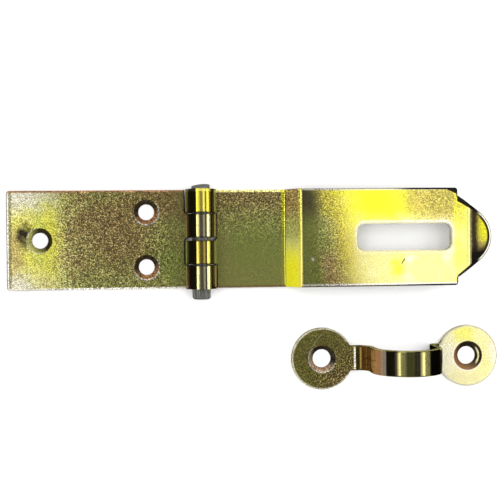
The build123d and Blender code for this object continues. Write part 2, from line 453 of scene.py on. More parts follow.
# %% [markdown]
# A sheared edge has a narrow rolled-over rim. Pale rims are painted highlights, and the black lower rim
# of the raised part is painted shade. A bevel with a second material could show it, but the solids stay
# as they are. A depth in from the long edge does it instead.

# %% Rims along the long edges
UPPER, LOWER = 1.0, -1.0
SHEARED = (0.4, 0.6)
MILKY_RIMS = 0.25


def rim(finish, edge, full, gone):
    """A rim on the upper or the lower edge: 1 up to a depth of full, 0 from a depth of gone."""
    return finish.fall(HALF_WIDTH - finish.y * edge, full, gone)


print("half width:", round(HALF_WIDTH, 2))

# %% [markdown]
# The fixed leaf was stamped from strip, punched, countersunk and rolled at one end. Its film is thin and
# pale at the free end and round the end hole, bronze and speckled in the middle, and green beside the
# hinge. One noise would scatter these tints anywhere, so blots with ragged edges are laid over each other.

# %% Stains of the fixed leaf
leaf_end = leaf_low.x
BRONZE_MIDDLE = Blot((-9.0, 2.0), (16.0, 14.0), 0.8)
GREEN_BY_HINGE = Blot((6.0, -6.0), (8.0, 9.0))
BROWN_BY_HINGE = Blot((3.0, 11.0), (11.0, 7.0))
LEMON_ROUND_HOLE = Blot((leaf_end + 10.0, 0.5), (10.5, 13.0), 1.0)
PEARL_UPPER_CORNER = Blot((leaf_end + 3.0, 12.0), (12.0, 6.0), 1.0)
PEARL_LOWER_CORNER = Blot((leaf_end + 2.0, -11.5), (7.0, 4.0), 1.0)
BROWN_BY_END = Blot((leaf_end + 2.0, -3.0), (4.2, 9.0), 1.0)
SMUDGE_BY_HOLE = Blot((leaf_end + 4.6, 1.4), (3.4, 4.2), 1.0)
PALE_END, PALE_SLANT = (leaf_end + 9.0, leaf_end + 17.0), 0.12
GREEN_ARC, GREEN_UPWARD = (leaf_end + 6.0, leaf_end + 10.0), (-9.0, -3.0)
DARK_END_LINE = (leaf_end + 0.5, leaf_end + 1.3)
BRIGHT_END = (leaf_end + 0.4, leaf_end + 0.7)


def leaf_middle_stains(finish):
    """Bronze in the middle of the leaf, green and brown beside the hinge."""
    yield StainAndShading(BRONZE, finish.patch(BRONZE_MIDDLE))
    yield StainAndShading(GREEN, finish.patch(GREEN_BY_HINGE))
    yield StainAndShading(BROWN, finish.patch(BROWN_BY_HINGE))


def leaf_end_stains_and_highlight(finish, wander):
    """The pale free end: straw and lemon, pearl corners, a brown edge, a smudge by the end hole and a painted
    highlight along the end.
    """
    x, y = finish.x, finish.y
    pale = finish.fall(x + wander + y * PALE_SLANT, *PALE_END)
    yield StainAndShading(STRAW, pale)
    yield StainAndShading(LEMON, pale * finish.patch(LEMON_ROUND_HOLE), share=0.85)
    green = finish.band(x + wander, *GREEN_ARC, fade=3.0) * finish.rise(y, *GREEN_UPWARD)
    yield StainAndShading(GREEN, pale * green, share=0.5)
    yield StainAndShading(PEARL, finish.patch(PEARL_UPPER_CORNER), share=0.7)
    yield StainAndShading(PEARL, finish.patch(PEARL_LOWER_CORNER), share=0.7)
    yield StainAndShading(BROWN, finish.patch(BROWN_BY_END), share=0.8)
    yield StainAndShading(SHADE_AND_SOOT, finish.patch(SMUDGE_BY_HOLE))
    yield StainAndShading(UMBER, finish.band(x + wander * 0.2, *DARK_END_LINE, fade=0.5), share=0.7)
    # painted highlight along the end edge
    yield StainAndShading(PEARL, finish.fall(x, *BRIGHT_END))


print("free end of the leaf at x:", round(leaf_end, 2))

# %% [markdown]
# The lists come together in one finish for the leaf. A later stain lies over an earlier one, so the rims,
# the countersinks and the knuckles come last. The pieces could share one material, but each has stains
# that are laid out from its own edges.

# %% Finish of the fixed leaf
LEAF_SINK = 3.25
LEAF_WANDER = 4.0
SPECKLED_LEAF = (leaf_end + 11.0, 7.0)
leaf_sinks = (end_hole, Vector((0.0, pair_half)), Vector((0.0, -pair_half)))


def leaf_stains_and_shading(finish, drift):
    """The film of the fixed leaf, with its painted highlights and shade, from the free end to the knuckles."""
    yield from leaf_middle_stains(finish)
    yield from leaf_end_stains_and_highlight(finish, (drift - 0.5) * LEAF_WANDER)
    yield StainAndShading(COPPER, rim(finish, UPPER, *SHEARED))
    # pearl on the lower rim: painted highlight
    yield StainAndShading(PEARL, rim(finish, LOWER, *SHEARED))
    # painted shade in the slits round the strap's knuckles
    yield StainAndShading(SHADE_AND_SOOT, notches(finish) * (1.0 - leaf_rows(finish)))
    yield from countersink(finish, end_hole, LEAF_SINK, lit=(-0.9, -0.4), tint=OLIVE, shine=0.3)
    for centre in leaf_sinks[1:]:
        yield from countersink(finish, centre, LEAF_SINK, lit=(0.3, -0.95))
    yield from knuckle_shading(finish, CREAM, SMOKE, COPPER)


def leaf_sparkle(finish):
    """Specks show most in the bronze middle of the leaf, and less where its free end is pale."""
    return finish.band(finish.x, *SPECKLED_LEAF, fade=9.0).most(0.45) * (1.0 - on_knuckles(finish))


def leaf_milky(finish):
    """The countersinks and the sheared rims scatter light."""
    rims = rim(finish, UPPER, *SHEARED).most(rim(finish, LOWER, *SHEARED)) * (1.0 - on_knuckles(finish))
    return in_sinks(finish, leaf_sinks, LEAF_SINK).most(rims) * MILKY_RIMS


leaf_zinc = zinc_finish("leaf_zinc", leaf_stains_and_shading, leaf_sparkle, leaf_milky)

# %% [markdown]
# The strap is the same strip, joggled up and pierced. The press left the film milky on the slope of the
# step. The two bend lines of the step get painted highlights, the lower bend a line of painted shade, and
# the slope is painted as shading, darker at the top. The slope could have a material of its own, but
# the film runs on over the bends.

# %% Stains of the strap's low part and its step
LOW_GREEN = Blot((pin.x + 15.0, -3.0), (12.0, 11.0))
LOW_BROWN_UPWARD = (3.0, 12.0)
STRAW_RIM, BRONZE_RIM = (0.5, 0.8), (0.4, 0.7)
LEMON_FOOT, LEMON_FOOT_UPWARD = (STEP_FOOT - 1.1, STEP_FOOT - 0.2), (-2.0, 8.0)
FOOT_LINE = (STEP_FOOT - 0.15, STEP_FOOT + 0.15)
SLOPE_STRAW, SLOPE_GREEN, SLOPE_LEMON = (1.0, 9.0), (-1.0, 5.0), (-7.0, 1.0)
GOLD_CREST = (STEP_CREST - 0.6, STEP_CREST + 0.2)


def step_slope(finish):
    """1 on the sloping part of the joggle, 0 elsewhere."""
    return finish.band(finish.x, STEP_FOOT, STEP_CREST, fade=0.2)


def low_stains_and_shading(finish, wander):
    """The low part: olive and green with a brown top, straw along its top edge and lemon at the step as painted
    highlights, and painted shade in the bend and the slits.
    """
    x, y = finish.x, finish.y
    low = finish.band(x, pin.x + BARREL, STEP_FOOT, fade=0.3)
    yield StainAndShading(OLIVE, low)
    yield StainAndShading(GREEN, low * finish.patch(LOW_GREEN))
    yield StainAndShading(BROWN, low * finish.rise(y + wander * 0.6, *LOW_BROWN_UPWARD))
    # straw along the top edge: painted highlight
    yield StainAndShading(STRAW, low * rim(finish, UPPER, *STRAW_RIM))
    # lemon line before the bend: painted highlight
    lemon = finish.band(x, *LEMON_FOOT, fade=0.5)
    yield StainAndShading(LEMON, lemon * (0.5 + 0.4 * finish.rise(y, *LEMON_FOOT_UPWARD)))
    yield StainAndShading(BRONZE, low * rim(finish, LOWER, *BRONZE_RIM))
    # painted shade in the lower bend
    yield StainAndShading(SHADE_AND_SOOT, finish.band(x, *FOOT_LINE, fade=0.15), share=0.8)
    # painted shade in the slits round the leaf's knuckles
    yield StainAndShading(SHADE_AND_SOOT, notches(finish) * leaf_rows(finish))


def step_shading(finish, wander):
    """The slope of the step, painted as shading: brown at the top, green, then lemon at the bottom, and a golden
    painted highlight on the crest.
    """
    y = finish.y + wander * 0.7
    slope = step_slope(finish)
    # brown at the top to lemon at the bottom: painted shading on the slope
    yield StainAndShading(BROWN, slope)
    yield StainAndShading(STRAW, slope * finish.fall(y, *SLOPE_STRAW))
    yield StainAndShading(GREEN, slope * finish.band(y, *SLOPE_GREEN, fade=5.0), share=0.6)
    yield StainAndShading(LEMON, slope * finish.fall(y, *SLOPE_LEMON))
    # painted highlight on the crest
    yield StainAndShading(GOLD, finish.band(finish.x, *GOLD_CREST, fade=0.5))


print("step from x:", round(STEP_FOOT, 2), "to", round(STEP_CREST, 2))

# %% [markdown]
# Past the crest the strap turns from dark moss, painted shade, to pale, through brown, ochre and gold. A
# colour ramp along the strap could do that in one node, but its fronts would be straight. Here each tint
# starts at its own distance past the crest, and the drift of the film makes its front wander.

# %% Stains from the crest to the slot
RAISED_START = (STEP_CREST + 0.2, STEP_CREST + 0.6)
TURN_SLANT = 0.2
OLIVE_TURN, BROWN_TURN, UPPER_GOLD_TURN = (3.0, 9.0), (4.0, 9.0), (4.0, 8.0)
OCHRE_TURN, GOLD_TURN, STRAW_TURN = (6.0, 11.0), (8.5, 12.5), (11.0, 16.0)
BROWN_DOWNWARD, GOLD_UPWARD, UMBER_UPWARD = (-7.0, -1.0), (4.0, 9.0), (2.0, 9.0)
BARE_SPOT = Blot((STEP_CREST + 3.0, -5.5), (0.5, 0.7))


def raised_part(finish):
    """1 on the raised part of the strap, 0 before its crest."""
    return finish.rise(finish.x, *RAISED_START)


def crest_stains_and_shade(finish, wander):
    """From the crest to the slot: moss and umber as painted shade, then a speckled turn through brown and gold to
    straw.
    """
    y = finish.y
    raised = raised_part(finish)
    turning = finish.x + wander * 0.7 + y * TURN_SLANT - STEP_CREST
    # moss: painted shade just past the crest
    yield StainAndShading(MOSS, raised)
    yield StainAndShading(OLIVE, finish.rise(turning, *OLIVE_TURN))
    yield StainAndShading(BROWN, finish.band(turning, *BROWN_TURN, fade=4.0) * finish.fall(y, *BROWN_DOWNWARD))
    yield StainAndShading(GOLD, finish.rise(turning, *UPPER_GOLD_TURN) * finish.rise(y, *GOLD_UPWARD))
    # umber: painted shade towards the top
    yield StainAndShading(UMBER, raised * finish.fall(turning, *BROWN_TURN) * finish.rise(y, *UMBER_UPWARD))
    yield StainAndShading(OCHRE, finish.rise(turning, *OCHRE_TURN), share=0.8)
    yield StainAndShading(GOLD, finish.rise(turning, *GOLD_TURN))
    yield StainAndShading(STRAW, finish.rise(turning, *STRAW_TURN))
    yield StainAndShading(PEARL, finish.patch(BARE_SPOT))


print("raised part starts at x:", round(RAISED_START[0], 2))

# %% [markdown]
# Round the slot the film is thinnest: lemon above it and cream below it. White clouds below it and a
# pale halo round it are painted highlights. The halo could be an inset ring of faces, but a distance from
# the slot's rounded outline works on the solid as it is.

# %% Stains round the slot
slot_x = slot_middle.x
SLOT_HALF, SLOT_CORNER = (12.3, 3.5), 1.8
LEMON_ABOVE_SLOT = Blot((slot_x - 8.0, 9.5), (13.5, 10.5), 0.8)
LEMON_FRINGE = Blot((slot_x - 4.0, 9.0), (14.0, 7.5), 1.0)
OCHRE_CORNER = Blot((slot_x + 9.0, 10.0), (13.5, 9.0), 1.0)
KHAKI_CORNER = Blot((slot_x + 10.5, 10.5), (12.0, 7.5), 1.0)
CREAM_BELOW_SLOT = Blot((slot_x + 2.0, -9.5), (21.0, 7.0), 0.8)
CLOUDED_HIGHLIGHT = Blot((slot_x + 3.0, -3.0), (19.0, 13.0), 0.8)
LEMON_BELOW_SLOT = Blot((slot_x - 2.0, -8.0), (3.0, 4.0), 1.0)
HIGHLIGHT_CLOUDS, HIGHLIGHT_CLOUD_EDGE, HIGHLIGHT_CLOUD_TOP = 5.0, (0.48, 0.62), (3.0, 7.0)
HALO, HALO_UPWARD = (-3.0, 0.8), (-4.0, 2.0)
LEMON_BY_TAB = (slot_x + SLOT_HALF[0] + 0.8, TAB_FOLD)
SLOT_SCRATCH = ((slot_x - 1.0, -7.0), (slot_x - 0.1, -5.6), 0.18)


def from_slot(finish):
    """Distance from the rim of the slot, negative inside it."""
    along = ((finish.x - slot_x).size() - SLOT_HALF[0] + SLOT_CORNER).most(0.0)
    across = ((finish.y - slot_middle.y).size() - SLOT_HALF[1] + SLOT_CORNER).most(0.0)
    return (along ** 2.0 + across ** 2.0) ** 0.5 - SLOT_CORNER


def slot_stains_and_highlights(finish, wander):
    """Round the slot: lemon and ochre above it, cream below, white clouds and a pearly halo as painted highlights,
    and one short scratch.
    """
    yield StainAndShading(LEMON, finish.patch(LEMON_ABOVE_SLOT))
    yield StainAndShading(LEMON, finish.patch(LEMON_FRINGE), share=0.8)
    yield StainAndShading(OCHRE, finish.patch(OCHRE_CORNER))
    yield StainAndShading(KHAKI, finish.patch(KHAKI_CORNER), share=0.6)
    yield StainAndShading(CREAM, finish.patch(CREAM_BELOW_SLOT))
    # white clouds: painted highlights
    clouds = finish.rise(finish.noise(HIGHLIGHT_CLOUDS, detail=3.0), *HIGHLIGHT_CLOUD_EDGE)
    clouds = clouds * finish.fall(finish.y, *HIGHLIGHT_CLOUD_TOP)
    yield StainAndShading(PEARL, clouds * finish.patch(CLOUDED_HIGHLIGHT), share=0.6)
    yield StainAndShading(LEMON, finish.patch(LEMON_BELOW_SLOT), share=0.9)
    # pearly halo: painted highlight, brighter upward
    halo = finish.band(from_slot(finish) + wander * 0.1, *HALO, fade=0.9)
    yield StainAndShading(PEARL, halo * (0.3 + 0.5 * finish.rise(finish.y, *HALO_UPWARD)))
    yield StainAndShading(LEMON, finish.band(finish.x + wander * 0.3, *LEMON_BY_TAB, fade=1.0), share=0.45)
    yield StainAndShading(SHADE_AND_SOOT, finish.scratch(*SLOT_SCRATCH))


print("slot about", 2 * SLOT_HALF[0], "by", 2 * SLOT_HALF[1], "mm")

# %% [markdown]
# The rims of the raised part are pale, as painted highlights, its rolled-over lower rim turns to painted
# shade, and its far corner is black. That wedge could be a face of its own. Here a slope along the strap
# widens the rim towards the corner.

# %% Stains on the rims of the raised part
RAISED_TOP = 6.0
ROLLOVER = 0.35
ROLLOVER_START = (RAISED_TOP - ROLLOVER, RAISED_TOP - ROLLOVER / 2)
PEARL_RIM, UMBER_RIM, JET_RIM, BLACK_CORNER_RIM = (0.7, 0.9), (0.2, ROLLOVER), (ROLLOVER, 0.55), (0.4, 0.55)
JET_START, BLACK_CORNER_START = (slot_x - 8.0, slot_x + 8.0), (slot_x - 4.0, slot_x + 2.0)
CORNER_WIDENING, CORNER_SLANT = 2.9, 0.45
TAB_NECK = 10.7
NECK_EDGE, SHOULDER_EDGE = (TAB_NECK - 0.2, TAB_NECK), (SHOULDER - 0.5, SHOULDER - 0.3)


def raised_rim_shading(finish):
    """The long edges of the raised part: pearl as painted highlights, umber and jet on the lower rim as painted
    shade, and black at the far corner.
    """
    x, y = finish.x, finish.y
    raised = raised_part(finish)
    # pearl rims: painted highlights
    yield StainAndShading(PEARL, raised * rim(finish, UPPER, *SHEARED))
    yield StainAndShading(PEARL, raised * rim(finish, LOWER, *PEARL_RIM))
    # umber and jet on the rolled-over lower rim: painted shade
    rolled = raised * finish.rise(finish.z, *ROLLOVER_START)
    yield StainAndShading(UMBER, rolled * rim(finish, LOWER, *UMBER_RIM))
    yield StainAndShading(JET, rolled * rim(finish, LOWER, *JET_RIM) * finish.rise(x, *JET_START))
    yield StainAndShading(JET, finish.rise(y.size(), *NECK_EDGE) * finish.rise(x, *SHOULDER_EDGE))
    wedge = (x - SHOULDER + CORNER_WIDENING).most(0.0) * CORNER_SLANT
    black_corner = finish.fall(HALF_WIDTH - (y + wedge), *BLACK_CORNER_RIM)
    yield StainAndShading(JET, black_corner * finish.rise(x, *BLACK_CORNER_START))


print("shoulders at x:", round(SHOULDER, 2))

# %% [markdown]
# The lift tab has painted shade along its fold, is black below, with one lemon patch, and a painted
# highlight line round its tip. That line could be left to the light, but three rims of falling width,
# painted shade, painted highlight and painted shade, draw it from every side.

# %% Stains of the lift tab
TAB_RADIUS = 8.6
TIP_START, TIP_FULL = (strap_tip - 3.6, strap_tip - 2.6), 0.67
TIP_SHADE, TIP_HIGHLIGHT, TIP_EDGE = 1.3, 0.65, 0.33
LIFTED_START = (TAB_FOLD + 0.1, TAB_FOLD + 0.3)
JET_FOLD = (TAB_FOLD + 0.1, TAB_FOLD + 1.8)
BROWN_FOLD, CREAM_FOLD = (TAB_FOLD - 0.9, TAB_FOLD - 0.65), (TAB_FOLD - 0.65, TAB_FOLD + 0.1)
LEMON_TAB = Blot((TAB_FOLD + 3.1, 2.2), (2.0, 6.0), 0.6)
DARK_HALF, DARK_SLANT = (-3.0, 0.5), 0.5
FLANK_LEAN = Vector((0.621, 0.784))
FLANK_AWAY = FLANK_LEAN.dot(Vector((SHOULDER, TAB_NECK)))
FLANK_RIM, FLANK_START = (-0.65, -0.45), (SHOULDER - 0.4, SHOULDER)
WIDE_FLANK, FLANK_TAPER = 0.7, 0.18


def tip_rim(finish, width):
    """1 on a rim of this width round the tip of the tab, 0 elsewhere."""
    far = finish.reach((strap_tip - TAB_RADIUS, 0.0)) - TAB_RADIUS
    return finish.rise(finish.x, *TIP_START) * finish.rise(far, -width, -width * TIP_FULL)


def flank_rim(finish):
    """1 on the slanting flanks beside the tab, wider on the upper one, 0 elsewhere."""
    off = finish.x * FLANK_LEAN.x + finish.y.size() * FLANK_LEAN.y - FLANK_AWAY
    wider = (WIDE_FLANK - (finish.x - SHOULDER) * FLANK_TAPER).most(0.0) * finish.rise(finish.y, 0.0, 1.0)
    return finish.rise(off + wider, *FLANK_RIM) * finish.rise(finish.x, *FLANK_START)


def tab_stains_and_shading(finish, wander):
    """The lift tab: painted shade along the fold, a lemon patch, a dark lower half, a brown line and a cream
    painted highlight before the fold, and a painted highlight round the tip between painted shade.
    """
    x, y = finish.x, finish.y
    lifted = finish.rise(x, *LIFTED_START)
    yield StainAndShading(BRONZE, lifted)
    # jet along the fold: painted shade
    yield StainAndShading(JET, finish.band(x + wander * 0.15, *JET_FOLD, fade=1.2), share=0.9)
    yield StainAndShading(LEMON, lifted * finish.patch(LEMON_TAB))
    yield StainAndShading(JET, lifted * finish.fall(y + wander * 0.3 - (x - strap_tip) * DARK_SLANT, *DARK_HALF))
    yield StainAndShading(BROWN, finish.band(x, *BROWN_FOLD, fade=0.15), share=0.6)
    # cream line before the fold: painted highlight
    yield StainAndShading(CREAM, finish.band(x, *CREAM_FOLD, fade=0.15), share=0.9)
    yield StainAndShading(JET, flank_rim(finish))
    # painted shade, painted highlight and painted shade round the tip
    yield StainAndShading(JET, tip_rim(finish, TIP_SHADE))
    yield StainAndShading(PEARL, tip_rim(finish, TIP_HIGHLIGHT))
    yield StainAndShading(UMBER, tip_rim(finish, TIP_EDGE))


print("tab folds at x:", round(TAB_FOLD, 2))

# %% [markdown]
# Now the lists come together in one finish for the strap, from the low part to the tab, with the knuckles
# last. The first knuckle is painted more lemon than the other, as a painted highlight, with a band of
# painted shade on its side. It could have a material of its own, but blending the tints along the pin
# keeps the sheet in one.

# %% Finish of the strap
STRAP_WANDER = 5.0
FIRST_KNUCKLE = (2.0, 4.0)
FIRST_SHADE = (0.42, LIT_BAND[1])
SPECKLED_LOW, SPECKLED_UPWARD = (pin.x + BARREL, STEP_CREST), (-4.0, 10.0)
SPECKLED_TURN = (STEP_CREST + 4.0, STEP_CREST + 11.0)
SPECKLED_CORNER = Blot((slot_x + 9.0, 9.5), (13.0, 7.5))
MILKY_DOWNWARD = (-6.0, 6.0)
MILKY_SLOT = (-1.0, 0.4)


def strap_stains_and_shading(finish, drift):
    """The film of the strap, with its painted highlights and shade, from the knuckles to the lift tab."""
    wander = (drift - 0.5) * STRAP_WANDER
    yield from low_stains_and_shading(finish, wander)
    yield from step_shading(finish, wander)
    yield from crest_stains_and_shade(finish, wander)
    yield from slot_stains_and_highlights(finish, wander)
    yield from raised_rim_shading(finish)
    yield from tab_stains_and_shading(finish, wander)
    # the first knuckle is painted more lemon as a highlight, with painted shade on one side
    first = finish.rise(finish.y, *FIRST_KNUCKLE)
    bright = finish.blend(GOLD, LEMON, first * 0.7)
    yield from knuckle_shading(finish, bright, finish.blend(TAWNY, GOLD, first), MOSS)
    shade = finish.band((finish.x - pin.x) / BARREL, *FIRST_SHADE, fade=0.08)
    yield StainAndShading(TAWNY, first * on_knuckles(finish) * shade, share=0.6)


def strap_sparkle(finish):
    """Specks show along the top of the low part and where the raised part turns light."""
    top = finish.band(finish.x, *SPECKLED_LOW, fade=1.0) * finish.rise(finish.y, *SPECKLED_UPWARD)
    turn = finish.band(finish.x, *SPECKLED_TURN, fade=4.0)
    return top.most(turn.most(finish.patch(SPECKLED_CORNER)) * 0.5)


def strap_milky(finish):
    """The pressed slope, the slot's rim, the top edge of the low part and the tip scatter light."""
    slope = step_slope(finish) * (0.15 + finish.fall(finish.y, *MILKY_DOWNWARD) * 0.35)
    slot_rim = finish.band(from_slot(finish), *MILKY_SLOT, fade=0.1) * 0.3
    edge = rim(finish, UPPER, *STRAW_RIM) * finish.fall(finish.x, STEP_FOOT - 0.5, STEP_FOOT) * 0.5
    line = (tip_rim(finish, TIP_HIGHLIGHT) - tip_rim(finish, TIP_EDGE)) * 0.6
    return slope.most(slot_rim).most(edge).most(line)


strap_zinc = zinc_finish("strap_zinc", strap_stains_and_shading, strap_sparkle, strap_milky)

# %% [markdown]
# The staple is stamped with two round feet and bent up over a mandrel. Its edges were sheared, and the
# bright rims on the feet and on the narrow strip between them are painted highlights. Such rims could be
# found by how sharply the surface turns, but distances from the feet and from the middle line are simpler.

# %% Where the staple bends and where it was sheared
STAPLE_SINK = 3.65
FOOT_RADIUS = 8.1
LOOP_RADIUS = 9.3
STRIP_HALF = 3.25
STRIP_EDGE, STRIP_ROOT = (STRIP_HALF - 0.15, STRIP_HALF - 0.02), (4.0, 4.5)
FOOT_RIM = (FOOT_RADIUS - 0.4, FOOT_RADIUS + 0.2)
near_foot = staple_middle - Vector((foot_half, 0.0, 0.0))
far_foot = staple_middle + Vector((foot_half, 0.0, 0.0))
near_leg = loop_middle.x - LOOP_RADIUS
far_root = far_foot.x - FOOT_RADIUS + 0.4
GLINT_RING, GLINT_SIDE = (STAPLE_SINK - 0.75, STAPLE_SINK - 0.4), (2.0, 2.7)
BEND_HIGHLIGHT, SHEET_TOP = (near_leg - 3.2, near_leg - 2.7), (1.4, 1.5)


def foot_rims(finish):
    """1 on the sheared rims of the two feet, 0 on the feet and where the strip joins them."""
    far = finish.reach(near_foot).least(finish.reach(far_foot))
    inner = finish.fall((finish.x - staple_middle.x).size(), foot_half - 1.0, foot_half)
    strip = inner * finish.fall((finish.y - staple_middle.y).size(), *STRIP_ROOT)
    return finish.band(far, *FOOT_RIM, fade=0.2) * (1.0 - strip)


def strip_edges(finish):
    """1 on the two sheared edges of the narrow strip, 0 on its face and on the feet."""
    inner = finish.band(finish.x, near_leg - 1.0, far_root, fade=0.2)
    return inner * finish.rise((finish.y - staple_middle.y).size(), *STRIP_EDGE)


def sink_glint(finish):
    """1 on a painted highlight, a bright crescent inside the countersink of the pale foot, on its outer side."""
    ring = finish.band(finish.reach(far_foot), *GLINT_RING, fade=0.2)
    return ring * finish.rise(finish.x - far_foot.x, *GLINT_SIDE)


def bend_highlight(finish):
    """1 on the painted highlight line where the strip starts to rise from the dark foot."""
    return finish.band(finish.x, *BEND_HIGHLIGHT, fade=0.2) * finish.rise(finish.z, *SHEET_TOP)


print("loop rises at:", round(near_leg, 2), "and ends at:", round(far_root, 2))

# %% [markdown]
# The loop is painted dark, with painted shade on its crown and flanks and two painted highlight lines,
# and the bend near the first foot is scratched and carries painted reflections in sepia, rust, copper and
# rose. The lines could be left to the lights, but the grain would blur them. Painted by the share of the
# radius from the crown, they stay clear.

# %% Stains of the loop
SHADED_STRIP = (near_leg - 2.6, far_root)
SEPIA_BEND, RUST_BEND = (near_leg - 2.5, near_leg - 1.3), (near_leg - 1.4, near_leg + 0.5)
COPPER_BEND, ROSE_BEND = (near_leg + 0.4, near_leg + 1.7), (near_leg + 1.6, near_leg + 2.5)
OLIVE_CROWN, CROWN_SHADE, DARK_FLANK = (-0.30, 0.25), (-0.02, 0.14), (0.43, 1.2)
LEFT_HIGHLIGHT, RIGHT_HIGHLIGHT = (-0.45, -0.26), (0.20, 0.42)
BEND_SCRATCHES = (
    ((near_leg - 0.9, near_foot.y - 0.3), (near_leg + 0.5, near_foot.y + 0.4), 0.15),
    ((near_leg - 0.6, near_foot.y - 1.6), (near_leg + 0.5, near_foot.y - 1.3), 0.12),
)


def loop_shading_and_scratches(finish, wander):
    """The strip from the dark foot to the pale one: a painted highlight at the bend, painted shade, painted
    reflections in sepia, rust, copper and rose, scratches, then the loop's painted highlights and shade.
    """
    x = finish.x
    # painted highlight on the bend line
    yield StainAndShading(PEARL, bend_highlight(finish))
    # painted shade over the whole strip
    yield StainAndShading(SHADE_AND_SOOT, finish.band(x, *SHADED_STRIP, fade=0.3))
    # sepia, rust, copper and rose: painted reflections on the rising bend
    yield StainAndShading(SEPIA, finish.band(x, *SEPIA_BEND, fade=0.3))
    yield StainAndShading(RUST, finish.band(x + wander * 0.05, *RUST_BEND, fade=0.4))
    yield StainAndShading(COPPER, finish.band(x + wander * 0.05, *COPPER_BEND, fade=0.3))
    yield StainAndShading(ROSE, finish.band(x, *ROSE_BEND, fade=0.2), share=0.3)
    for mark in BEND_SCRATCHES:
        yield StainAndShading(SHADE_AND_SOOT, finish.scratch(*mark))
    crown = (x - loop_middle.x) / LOOP_RADIUS
    yield StainAndShading(OLIVE, finish.band(crown, *OLIVE_CROWN, fade=0.08), share=0.28)
    # straw lines: painted highlights
    yield StainAndShading(STRAW, finish.band(crown, *LEFT_HIGHLIGHT, fade=0.10), share=0.8)
    yield StainAndShading(STRAW, finish.band(crown, *RIGHT_HIGHLIGHT, fade=0.10), share=0.8)
    # soot on the crown and jet on the flanks: painted shade
    yield StainAndShading(SHADE_AND_SOOT, finish.band(crown, *CROWN_SHADE, fade=0.05))
    yield StainAndShading(JET, finish.band(crown, *DARK_FLANK, fade=0.05))
    # straw on the sheared edges: painted highlights
    yield StainAndShading(STRAW, strip_edges(finish), share=0.8)


print("scratches on the bend:", len(BEND_SCRATCHES))

# %% [markdown]
# One foot is painted dark khaki as shade and the other pale ivory as a highlight, with tints in it. The
# staple could take the leaf's material, but its stains would fall in the wrong places, so the feet are
# painted from their own middles.

# %% Finish of the staple
STAPLE_WANDER = 3.0
BURNT_RING = 0.3
KHAKI_FOOT = Blot(near_foot, (16.0, 16.0))
BROWN_LOWER_SIDE = Blot((near_foot.x + 6.0, near_foot.y - 5.5), (9.0, 7.0), 1.0)
SPECKLED_SIDE = Blot((near_foot.x + 4.0, near_foot.y - 4.0), (11.0, 8.0))
SPECKLED_FOOT = (near_foot.x + FOOT_RADIUS, near_foot.x + FOOT_RADIUS + 2.0)
FOOT_SCRATCHES = (
    ((near_foot.x - 0.2, near_foot.y + 6.5), (near_foot.x - 2.9, near_foot.y + 2.8), 0.10),
    ((near_foot.x - 4.0, near_foot.y + 3.0), (near_foot.x - 5.1, near_foot.y + 0.8), 0.10),
)
PALE_FOOT = (far_root - 0.2, far_root + 0.2)
LEMON_TOP = Blot((far_foot.x - 1.0, far_foot.y + 6.0), (5.0, 4.0), 0.9)
PEARL_ROOT = Blot((far_foot.x - 6.0, far_foot.y), (5.0, 8.0), 0.9)
GOLD_SIDE = Blot((far_foot.x + 5.0, far_foot.y - 1.0), (5.0, 8.0), 0.9)
ROSE_SIDE = Blot((far_foot.x + 8.5, far_foot.y + 1.0), (4.0, 7.0), 0.9)
MILKY_BEND = (COPPER_BEND[0], ROSE_BEND[1])


def dark_foot_shade_and_scratches(finish):
    """The first foot: khaki as painted shade, brown on its lower side, and two fine light scratches."""
    # khaki: painted shade over the first foot
    yield StainAndShading(KHAKI, finish.patch(KHAKI_FOOT))
    yield StainAndShading(BROWN, finish.patch(BROWN_LOWER_SIDE))
    for mark in FOOT_SCRATCHES:
        yield StainAndShading(PEARL, finish.scratch(*mark), share=0.5)


def pale_foot_highlight_and_tints(finish):
    """The second foot: ivory as a painted highlight, lemon towards the top, pearl by the loop, gold and rose
    further out.
    """
    pale = finish.rise(finish.x, *PALE_FOOT)
    # ivory: painted highlight over the second foot
    yield StainAndShading(IVORY, pale)
    yield StainAndShading(LEMON, pale * finish.patch(LEMON_TOP), share=0.6)
    yield StainAndShading(PEARL, pale * finish.patch(PEARL_ROOT), share=0.6)
    yield StainAndShading(GOLD, pale * finish.patch(GOLD_SIDE), share=0.35)
    yield StainAndShading(ROSE, pale * finish.patch(ROSE_SIDE))


def staple_stains_and_shading(finish, drift):
    """The film of the staple, with its painted highlights and shade, from the dark foot over the loop to the pale
    foot.
    """
    yield from dark_foot_shade_and_scratches(finish)
    yield from loop_shading_and_scratches(finish, (drift - 0.5) * STAPLE_WANDER)
    yield from pale_foot_highlight_and_tints(finish)
    # pearl rims of the feet: painted highlights
    yield StainAndShading(PEARL, foot_rims(finish), share=0.6)
    rosy = finish.blend(COPPER, ROSE, 0.3)
    yield from countersink(finish, near_foot, STAPLE_SINK, lit=(-0.5, -0.85), tint=rosy)
    yield from countersink(finish, far_foot, STAPLE_SINK + BURNT_RING, lit=(-0.7, -0.7))
    # ivory crescent in the pale foot's countersink: painted highlight
    yield StainAndShading(IVORY, sink_glint(finish))


def staple_sparkle(finish):
    """Specks show on the dark foot, most of all on its lower side."""
    return finish.fall(finish.x, *SPECKLED_FOOT) * (0.4 + finish.patch(SPECKLED_SIDE) * 0.6)


def staple_milky(finish):
    """The countersinks, the sheared rims and edges and the coppery bend scatter light."""
    rims = in_sinks(finish, (near_foot, far_foot), STAPLE_SINK).most(foot_rims(finish)) * MILKY_RIMS
    lines = bend_highlight(finish).most(sink_glint(finish)) * 0.6
    bend = finish.band(finish.x, *MILKY_BEND, fade=0.2) * 0.45
    return rims.most(lines).most(bend).most(strip_edges(finish) * 0.3)


staple_zinc = zinc_finish("staple_zinc", staple_stains_and_shading, staple_sparkle, staple_milky)

